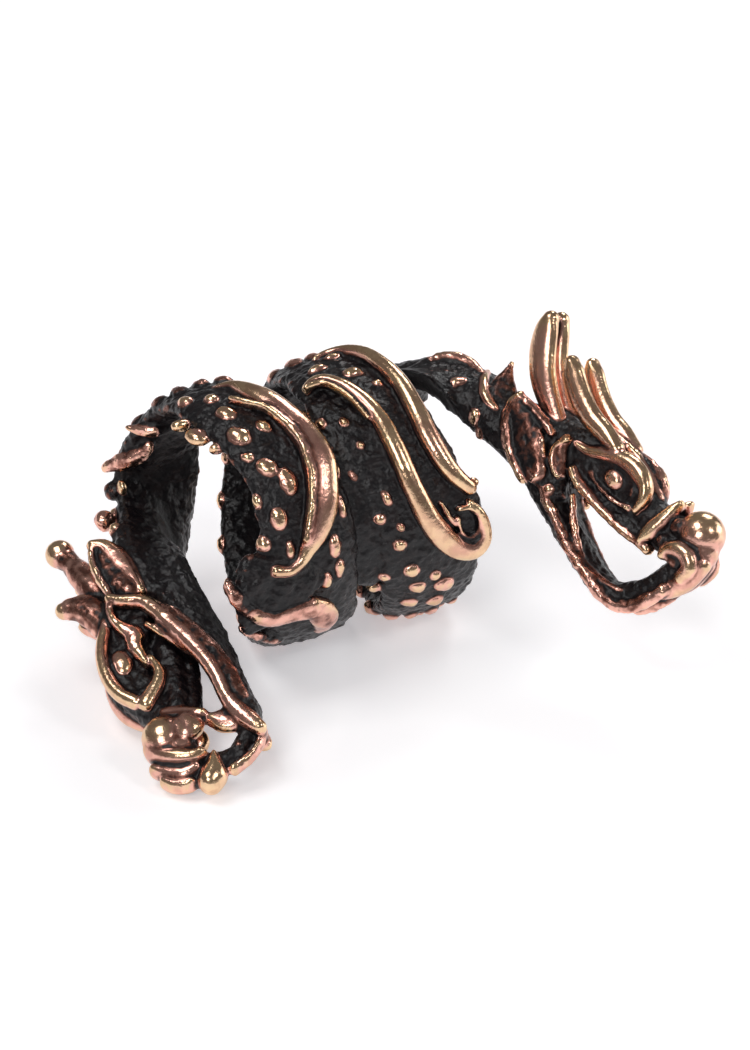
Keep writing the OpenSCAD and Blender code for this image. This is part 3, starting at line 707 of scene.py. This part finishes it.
def right_head():
    """The head at the right end. Its nearer flank is the one with side below 0."""
    both = mirrored([
        # Back horn.
        rim([(1.3, 1.5, 0.46), (0.27, 2.19, 0.58), (-0.61, 2.85, 0.7), (-1.43, 3.69, 0.78),
             (-2.04, 4.79, 0.8), (-2.34, 5.75, 0.72), (-2.42, 6.3, 0.58), (-2.44, 6.55, 0.46)],
            side=(0.7, 0.5), depth=0.5, bright=1.15, sides=16),
        # Front horn.
        rim([(5.3, 2.3, 0.36), (4.14, 2.69, 0.54), (3.1, 2.95, 0.6), (2.01, 3.5, 0.66), (1.19, 4.18, 0.64),
             (0.62, 4.82, 0.58), (0.36, 5.2, 0.36)], side=(0.9, 1.0), depth=0.52, bright=1.15, sides=16),
        # Eye.
        ball((5.98, 0.98, 0.72), (0.66, 0.42, 0.56), sides=16, bright=0.85),
        # Socket.
        rim([(3.2, 1.0, 0.6), (5.0, 1.1, 0.7), (6.8, 1.0, 0.7), (8.0, 0.4, 0.6)],
            side=0.55, depth=0.45, bright=0, sides=14),
        # Rings under and over the eye.
        rim([(4.43, 0.37, 0.12), (5.46, -0.12, 0.14), (6.61, -0.32, 0.14), (7.6, -0.25, 0.12)],
            side=1.0, depth=0.22, bright=0.6),
        rim([(4.45, 0.84, 0.1), (5.35, 1.29, 0.12), (6.38, 1.45, 0.12), (7.2, 1.1, 0.12), (7.4, 0.49, 0.1)],
            side=0.95, depth=0.2, bright=0.35),
        # Edge of the upper lip.
        rim([(3.5, 0.1, 0.24), (3.9, -0.3, 0.3), (4.55, -0.6, 0.32), (5.64, -0.96, 0.3),
             (6.85, -1.26, 0.28), (8.05, -1.5, 0.26), (9.02, -1.55, 0.28), (9.78, -1.7, 0.28)],
            side=(1.4, 1.05, 0.95), depth=0.42, bright=0.75),
        # Fold behind the nose.
        rim([(10.2, 1.3, 0.2), (10.05, 0.85, 0.34), (9.8, 0.11, 0.42), (9.5, -0.69, 0.46),
             (9.35, -1.2, 0.3), (9.3, -1.5, 0.14)], side=(0.3, 0.95, 1.15), depth=0.5, sides=14),
        # Dull fill between the fold and the nose.
        knob((10.9, 0.75, 0.3), (0.5, 0.5, 0.55), bright=0.15),
        knob((10.5, 0.8, -0.8), (0.5, 0.5, 0.5), bright=0.15),
        # Fill under the upper lip.
        rim([(3.6, 0.0, 0.35), (5.5, -0.7, 0.36), (7.5, -1.05, 0.34), (9.4, -1.3, 0.36)],
            side=0.5, depth=0.65, bright=0, sides=12),
        # Nostril curl, and the swellings inside it.
        rim([(10.85, -1.45, 0.3), (11.1, -1.0, 0.38), (11.6, -0.72, 0.44), (12.3, -0.75, 0.46),
             (12.75, -1.3, 0.46), (12.5, -2.0, 0.42)],
            side=(0.95, 1.2, 0.95), depth=0.46, sides=14),
        ball((12.2, 0.4, -0.5), (0.9, 0.7, 1.1), sides=16),
        knob((11.65, 0.95, -1.35), (0.6, 0.36, 0.5), bright=0.35),
        knob((11.3, 0.95, -1.45), (0.3, 0.36, 0.28), bright=0.95),
        # Ear leaf: its upper edge, its lower edge and its fill.
        rim([(-1.03, 2.3, 0.24), (-1.26, 1.72, 0.34), (-1.16, 0.92, 0.38), (-0.72, 0.12, 0.38),
             (-0.13, -0.59, 0.34), (0.62, -1.22, 0.3), (1.26, -1.67, 0.26)],
            side=(2.3, 2.45, 2.2), depth=0.4, bright=0.85),
        rim([(-1.03, 2.3, 0.22), (-0.28, 2.14, 0.24), (0.64, 1.82, 0.24), (1.62, 1.39, 0.2)],
            side=(2.3, 1.9), depth=0.34, bright=0.4),
        rim([(-0.9, 1.75, 0.4), (-0.35, 1.2, 0.76), (0.45, 0.42, 0.97), (1.25, -0.4, 0.83),
             (1.91, -1.1, 0.56)], side=(2.3, 2.1), depth=0.44, bright=0.5, sides=14),
        # Small leaf before the ear and its edge.
        rim([(2.43, 1.4, 0.25), (2.38, 0.69, 0.44), (2.66, 0.05, 0.44), (3.06, -0.44, 0.25)],
            side=1.65, depth=0.36, bright=0.4),
        rim([(2.7, 1.5, 0.16), (2.2, 0.89, 0.2), (2.24, 0.22, 0.2), (2.71, -0.4, 0.16), (3.05, -0.6, 0.12)],
            side=1.85, depth=0.3),
        # Drops under the ear.
        knob((2.9, 1.9, -1.5), (0.4, 0.3, 0.35), bright=0.7),
        knob((3.05, 1.9, -2.15), (0.36, 0.28, 0.3), bright=0.6),
    ], "right_flanks")
    jaw = [
        (1.4, -0.9, 0.2), (2.34, -1.5, 0.27), (3.56, -2.43, 0.27), (4.89, -3.38, 0.3), (6.19, -4.11, 0.3),
        (7.37, -4.67, 0.33), (8.51, -5.1, 0.36), (9.44, -5.2, 0.38), (10.36, -4.9, 0.4),
        (11.18, -4.1, 0.38), (11.86, -3.12, 0.34),
    ]
    brow = [
        (2.86, 1.42, 0.2), (3.75, 1.36, 0.3), (4.72, 1.68, 0.36), (5.72, 1.93, 0.44), (6.7, 1.93, 0.5),
        (7.52, 1.66, 0.48), (8.11, 1.2, 0.38), (8.29, 0.53, 0.32), (8.15, -0.1, 0.24),
    ]
    middle = [
        # Brow and jaw, broad on the flank that faces the front and drawn in on the other.
        rim(brow, side=-0.95, depth=0.5, bright=1.1),
        rim(brow, side=0.6, depth=0.45, bright=0.6),
        rim(jaw, side=(-1.95, -1.75, -1.5, -1.3, -1.1), depth=0.36, bright=0.5),
        rim(jaw, side=(1.6, 0.9, 0.5, 0.4, 0.2), depth=0.36, bright=0.5),
        # Inner edge of the jaw.
        rim([(4.25, -1.14, 0.14), (4.81, -2.25, 0.19), (5.48, -3.14, 0.19), (6.45, -4.04, 0.18),
             (7.89, -4.46, 0.18), (9.49, -4.41, 0.18), (10.6, -3.83, 0.18)],
            side=(-1.5, -1.3, -1.0), depth=0.26, bright=0.6),
        # Corners of the mouth, near and far.
        rim([(1.4, -0.4, 0.7), (2.5, -1.0, 0.7), (3.2, -1.6, 0.4)],
            side=-1.2, depth=0.75, bright=0.1, sides=14),
        rim([(1.4, -0.4, 0.7), (2.2, -0.9, 0.6), (2.6, -1.3, 0.4)],
            side=1.0, depth=0.6, bright=0.1, sides=14),
        # Core of the head.
        skull([(-2.2, 0, 0.2, 1.6, 1.5), (0.5, 0, 0.5, 1.8, 1.75), (3, 0, 0.8, 1.4, 1.6),
               (5.5, 0, 0.5, 1.0, 1.65), (7.5, 0, -0.1, 0.95, 1.4), (9.0, 0, -0.45, 0.95, 1.2),
               (10.5, 0, -0.6, 0.95, 1.15), (12, 0, -0.8, 0.85, 1.1)]),
        # Ridge from the crown to the snout.
        rim([(3.6, 2.7, 0.2), (4.9, 2.5, 0.24), (6.0, 2.3, 0.24), (7.0, 1.85, 0.24), (7.8, 1.35, 0.24),
             (8.6, 0.9, 0.2)], side=0, depth=0.24, bright=0.85),
        # Nose in two swellings.
        ball((11.95, 0.05, 0.36), (1.36, 1.3, 1.32), sides=24, bright=1.2),
        ball((12.3, -0.05, -0.45), (1.15, 1.0, 1.3), sides=20, bright=1.2),
        # Two lips under it.
        rim([(11.0, -3.7, 0.4), (11.8, -3.0, 0.56), (12.5, -2.1, 0.62), (12.95, -1.0, 0.55)],
            side=(-0.6, -0.4), depth=0.62, bright=1.1, sides=14),
        rim([(11.0, -3.5, 0.4), (11.8, -2.9, 0.5), (12.4, -2.1, 0.55), (12.8, -1.0, 0.5)],
            side=(0.0, 0.3), depth=0.6, sides=14),
    ]
    head = joined([both] + middle, "right_head")
    head.data.transform(RIGHT_PLACE)
    return head


def rid_of_specks(wax):
    """Keeps the shell that reaches furthest left, without the specks that a remesh leaves inside it."""
    furthest_left = int(np.argmin(points_of(wax.data)[:, 0]))
    picked_up(wax)
    bpy.ops.object.mode_set(mode="EDIT")
    bpy.ops.mesh.select_mode(type="VERT")
    bpy.ops.mesh.select_all(action="DESELECT")
    bpy.ops.object.mode_set(mode="OBJECT")
    wax.data.vertices[furthest_left].select = True
    bpy.ops.object.mode_set(mode="EDIT")
    bpy.ops.mesh.select_linked()
    bpy.ops.mesh.select_all(action="INVERT")
    bpy.ops.mesh.delete(type="VERT")
    put_down()


def cast(wax, faces, shine):
    """Turns the joined wax into one skin, with the softened edges and small unevenness of a casting."""
    finished(wax, "REMESH", mode="VOXEL", voxel_size=CASTING_GRAIN, adaptivity=0)
    rid_of_specks(wax)
    finished(wax, "SMOOTH", factor=0.5, iterations=int(SOFTENING_ROUNDS * ROUNDS))
    buff = np.array([shine[faces.find_nearest(v.co)[2]] for v in wax.data.vertices])
    black = wax.vertex_groups.new(name="black")
    for much in range(11):
        points = np.flatnonzero(np.round(buff * 10) == much).tolist()
        black.add(points, 1 - LUMPS_WORN * much * much, "REPLACE")
    for name, size, height in CASTING_LUMPS:
        lumps = bpy.data.textures.new(name, "CLOUDS")
        lumps.noise_scale = size
        lumps.noise_depth = 2
        finished(wax, "DISPLACE", texture=lumps, strength=height, mid_level=0.5, vertex_group="black")
    return wax, buff


def settle(values, edges, share, rounds):
    """Values averaged with their neighbours' a number of times."""
    a, b = edges[:, 0], edges[:, 1]
    n = len(values)
    for _ in range(rounds):
        total = np.stack([np.bincount(a, values[b, k], n) + np.bincount(b, values[a, k], n)
                          for k in range(values.shape[1])], axis=1)
        values = 0.5 * values + 0.5 * total * share
    return values


def links_of(mesh):
    """The edges of a mesh, and one over the number of edges at each point."""
    edges = np.empty(len(mesh.edges) * 2, np.int64)
    mesh.edges.foreach_get("vertices", edges)
    count = np.bincount(edges, minlength=len(mesh.vertices))
    return edges.reshape(-1, 2), 1 / np.maximum(count, 1)[:, None]


def ream(metal, low):
    """Opens the bore to its round between the necks, and flattens what would sink in the table."""
    points = points_of(metal.data)
    edges, share = links_of(metal.data)
    x, radius = points[:, 0], np.hypot(points[:, 1], points[:, 2])
    left = np.clip((x - BORE_LEFT) / BORE_LEFT_FADE, 0, 1)
    right = np.clip((BORE_RIGHT - x) / BORE_RIGHT_FADE, 0, 1)
    sunk = np.maximum(BORE_R - BORE_PLAY - radius, 0)
    pushed = left * right * (sunk - WALL_UNEVEN * np.tanh(sunk / WALL_DEPTH))
    points[:, 1:] *= (1 + pushed / np.maximum(radius, 1))[:, None]
    eased_points = settle(points, edges, share, int(WALL_ROUNDS * ROUNDS))
    points += (eased_points - points) * np.clip(pushed / WALL_EDGE, 0, 1)[:, None]
    points[:, 2] = np.maximum(points[:, 2], low)
    move_points(metal.data, points)


def relief_of(wax):
    """The wax as a tree of its faces, and how bright each face's relief is buffed."""
    shine = np.empty(len(wax.data.polygons), np.float32)
    wax.data.attributes["buffed"].data.foreach_get("value", shine)
    faces = [tuple(face.vertices) for face in wax.data.polygons]
    return BVHTree.FromPolygons([v.co.copy() for v in wax.data.vertices], faces), shine


def rub(metal, buff):
    """Marks the relief that rubbing has polished bright, and the hollows that stay black."""
    mesh = metal.data
    points = points_of(mesh)
    edges, share = links_of(mesh)
    normals = np.empty(len(points) * 3)
    mesh.vertex_normals.foreach_get("vector", normals)
    normals = normals.reshape(-1, 3)
    near = settle(points, edges, share, int(FINE_ROUNDS * ROUNDS))
    far = settle(near, edges, share, int(BROAD_ROUNDS * ROUNDS))
    fine = ((points - near) * normals).sum(1) / FINE_RELIEF
    broad = ((points - far) * normals).sum(1) / BROAD_RELIEF
    buff = settle(buff[:, None], edges, share, 3)[:, 0]
    # Buffed relief shines where it stands out, and so do the sharpest edges of the rest.
    worn = (buff * np.clip(0.46 + 0.6 * broad + 0.24 * fine, 0, 1.15)
            + np.clip(0.5 * broad + 0.3 * fine - 0.55, 0, 0.42))
    x, radius = points[:, 0], np.hypot(points[:, 1], points[:, 2])
    # The wall inside the turns stays black.
    inner = (np.clip((BAND_EDGE_R - radius) / INNER_WALL_EDGE, 0, 1)
             * (x > INNER_WALL[0]) * (x < INNER_WALL[1]))
    worn = settle((worn * (1 - 0.9 * inner))[:, None], edges, share, 2)[:, 0]
    for name, value in (("worn", worn), ("hollow", np.clip(0.5 - 0.6 * broad, 0, 1))):
        mesh.attributes.new(name, "FLOAT", "POINT").data.foreach_set("value", value.astype(np.float32))


class Wire:
    """A value in a finish's nodes, so that sums on it are written as sums."""

    def __init__(self, finish, socket):
        self.finish, self.socket = finish, socket

    def _math(self, operation, *values):
        return self.finish.node("ShaderNodeMath", {"operation": operation}, dict(enumerate(values)))

    def __add__(self, other):
        return self._math("ADD", self, other)

    def __sub__(self, other):
        return self._math("SUBTRACT", self, other)

    def __rsub__(self, other):
        return self._math("SUBTRACT", other, self)

    def __mul__(self, other):
        return self._math("MULTIPLY", self, other)

    __radd__ = __add__
    __rmul__ = __mul__

    def between(self, low, high):
        """0 at low, 1 at high, eased."""
        return self.finish.node("ShaderNodeMapRange", {"interpolation_type": "SMOOTHSTEP"},
                                {"Value": self, "From Min": low, "From Max": high})


class Finish:
    """A material whose nodes are added one call at a time."""

    def __init__(self, name):
        self.material = bpy.data.materials.new(name)
        self.material.use_nodes = True
        self.tree = self.material.node_tree
        self.tree.nodes.clear()

    def node(self, kind, settings=None, inputs=None, output=0):
        """A node of a kind, with its settings, then the values or links of its sockets."""
        node = self.tree.nodes.new(kind)
        for key, value in (settings or {}).items():
            setattr(node, key, value)
        for key, value in (inputs or {}).items():
            if isinstance(value, Wire):
                self.tree.links.new(value.socket, node.inputs[key])
            else:
                node.inputs[key].default_value = value
        return Wire(self, node.outputs[output])

    def mixed(self, amount, a, b):
        """Colour a where amount is 0 and b where it is 1."""
        return self.node("ShaderNodeMix", {"data_type": "RGBA"}, {0: amount, 6: a, 7: b}, 2)

    def on_surface(self, skin):
        """Makes a shader the finish's surface."""
        out = self.tree.nodes.new("ShaderNodeOutputMaterial")
        self.tree.links.new(skin.socket, out.inputs["Surface"])
        return self.material

    def noise(self, size, detail=3, rough=0.55):
        """Noise of about this size in metres, on the piece's own coordinates."""
        where = self.node("ShaderNodeTexCoord", output="Object")
        return self.node("ShaderNodeTexNoise", {}, {"Vector": where, "Scale": 1 / size, "Detail": detail,
                                                     "Roughness": rough})


# Colours of the bronze, from its hollows to its crests, and of the table with its painted glow of fill
# light.
SOOT, BLACK_BROWN = (0.0045, 0.0035, 0.0045, 1), (0.012, 0.0075, 0.008, 1)
WARM_BROWN = (0.18, 0.075, 0.055, 1)
RED_COPPER, PALE_GOLD, OLD_COPPER = (0.90, 0.50, 0.40, 1), (0.85, 0.59, 0.36, 1), (0.43, 0.17, 0.13, 1)
COOL_WHITE, PLAIN_WHITE = (0.90, 0.90, 0.91, 1), (0.92, 0.92, 0.92, 1)
FILL_LIGHT_GLOW = (0.98, 0.96, 1, 1)


def bronze():
    """Blackened bronze, rubbed bright where its relief stands out."""
    f = Finish("antique_bronze")
    worn = f.node("ShaderNodeAttribute", {"attribute_name": "worn"}, output="Fac")
    hollow = f.node("ShaderNodeAttribute", {"attribute_name": "hollow"}, output="Fac")
    broad = f.noise(0.0035, 2)
    spots = f.noise(0.0006, 4, 0.6)
    grain = f.noise(0.00018, 3, 0.6)
    patches = f.noise(0.0011, 2)
    # The polish ends unevenly.
    edge = worn + (patches - 0.5) * 0.4 + (spots - 0.5) * 0.4 + (grain - 0.5) * 0.2
    brown = edge.between(0.2, 0.42)
    bright = edge.between(0.36, 0.76)
    black = f.mixed(spots.between(0.4, 0.7), SOOT, BLACK_BROWN)
    gold = (worn + (broad - 0.5) * 0.9).between(0.75, 1.25)
    copper = f.mixed(gold, RED_COPPER, PALE_GOLD)
    stain = f.noise(0.0008, 3).between(0.42, 0.62) * 0.3 + hollow * 0.45
    copper = f.mixed(stain, copper, OLD_COPPER)
    colour = f.mixed(brown, black, WARM_BROWN)
    colour = f.mixed(bright, colour, copper)
    rough = 0.27 - bright * 0.09 + (grain - 0.5) * 0.14 + hollow * 0.1
    height = (grain * 0.4 + spots * 0.6) * (1 - bright * 0.6)
    bump = f.node("ShaderNodeBump", {}, {"Strength": 0.8, "Distance": 0.00012, "Height": height})
    skin = f.node("ShaderNodeBsdfPrincipled", {}, {
        "Base Color": colour, "Metallic": brown, "Roughness": rough, "Specular IOR Level": 0.34,
        "Normal": bump})
    return f.on_surface(skin)


def floor_finish():
    """A white table in a bright room; its faint even glow is painted fill light that lightens the shadows
    on it.
    """
    f = Finish("white_table")
    tone = f.mixed(f.noise(0.05).between(0.3, 0.7), COOL_WHITE, PLAIN_WHITE)
    # The emission is painted fill light: an even glow that lifts the table's shadows.
    skin = f.node("ShaderNodeBsdfPrincipled", {}, {
        "Base Color": tone, "Roughness": 0.35, "Emission Color": FILL_LIGHT_GLOW, "Emission Strength": 0.38})
    return f.on_surface(skin)


# The casting is too fine for one mesh, so it is parted at these places along the bore.
PARTED_AT = (-10.4, -5.5, -1.0, 3.82, 10.8)
PART_NAMES = ("bead_left_head", "bead_left_neck", "bead_first_turn", "bead_middle", "bead_second_turn",
              "bead_right_head")


def parted(metal):
    """Cuts the casting across, closes each part flat and brings it to metres."""
    parts = []
    for k, name in enumerate(PART_NAMES):
        picked_up(metal)
        bpy.ops.object.duplicate()
        part = bpy.context.object
        part.name = part.data.name = name
        bpy.ops.object.mode_set(mode="EDIT")
        for at, drops in ((k - 1, "clear_inner"), (k, "clear_outer")):
            if 0 <= at < len(PARTED_AT):
                bpy.ops.mesh.select_all(action="SELECT")
                bpy.ops.mesh.bisect(plane_co=(PARTED_AT[at], 0, 0), plane_no=(1, 0, 0), use_fill=True,
                                    **{drops: True})
        bpy.ops.mesh.select_all(action="SELECT")
        bpy.ops.mesh.quads_convert_to_tris()
        picked_up(part)
        bpy.ops.object.shade_smooth_by_angle(angle=CREASE)
        part.data.transform(Matrix.Scale(MM, 4))
        parts.append(part)
    bpy.data.objects.remove(metal)
    return parts


wax = joined([coil(), neck(LEFT_NECK), neck(RIGHT_NECK), *neck_leaves(), left_head(), right_head()],
             "bead_wax")
metal, buff = cast(wax, *relief_of(wax))
ream(metal, cad_box[0][2] / MM + TABLE_PLAY)
rub(metal, buff)
metal.data.materials.clear()
metal.data.materials.append(bronze())
for piece in parted(metal):
    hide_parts("bead")
    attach(piece, "root")

put_down()
bpy.ops.mesh.primitive_plane_add(size=2, location=(0, 0, cad_box[0][2]))
table = bpy.context.object
table.name = "table"
bpy.ops.object.transform_apply(location=True, rotation=True, scale=True)
table.data.materials.append(floor_finish())


def lamp(name, place, size, watts):
    """A soft box of white light at a place, turned to the middle of the bore."""
    put_down()
    bpy.ops.object.light_add(type="AREA", location=place)
    light = bpy.context.object
    light.name = name
    light.data.shape = "RECTANGLE"
    light.data.size, light.data.size_y = size
    light.data.energy = watts
    light.rotation_euler = (-Vector(place)).to_track_quat("-Z", "Y").to_euler()


lamp("window_right", (0.22, 0.20, 0.24), (0.12, 0.10), 0.36)
lamp("overhead", (-0.17, 0.02, 0.37), (0.22, 0.17), 0.55)
lamp("front_left", (-0.24, -0.22, 0.22), (0.13, 0.13), 0.36)
lamp("front_right", (0.14, -0.23, 0.25), (0.075, 0.08), 0.17)
lamp("card_right", (0.32, -0.06, 0.08), (0.22, 0.14), 0.27)

world = bpy.data.worlds.new("studio")
bpy.context.scene.world = world
world.use_nodes = True
room = world.node_tree.nodes["Background"]
room.inputs["Color"].default_value = (1, 1, 1, 1)
room.inputs["Strength"].default_value = 0.17
bpy.context.scene.view_settings.view_transform = "Standard"

# The camera's way round and up, its distance, its lens, and its shift in pixels of the photograph's width.
AZIMUTH, ELEVATION, DISTANCE = math.radians(25), math.radians(32), 0.3
SENSOR, LENS = 36, 259.2
PHOTO_WIDTH, SHIFT_RIGHT, SHIFT_UP = 750, 41, -32
ahead = Vector((math.sin(AZIMUTH) * math.cos(ELEVATION), math.cos(AZIMUTH) * math.cos(ELEVATION),
                -math.sin(ELEVATION)))
put_down()
bpy.ops.object.camera_add(location=-ahead * DISTANCE, rotation=ahead.to_track_quat("-Z", "Y").to_euler())
camera = bpy.context.object
camera.name = "camera"
camera.data.sensor_width = SENSOR
camera.data.sensor_fit = "HORIZONTAL"
camera.data.lens = LENS
camera.data.shift_x = SHIFT_RIGHT / PHOTO_WIDTH
camera.data.shift_y = SHIFT_UP / PHOTO_WIDTH
bpy.context.scene.camera = camera
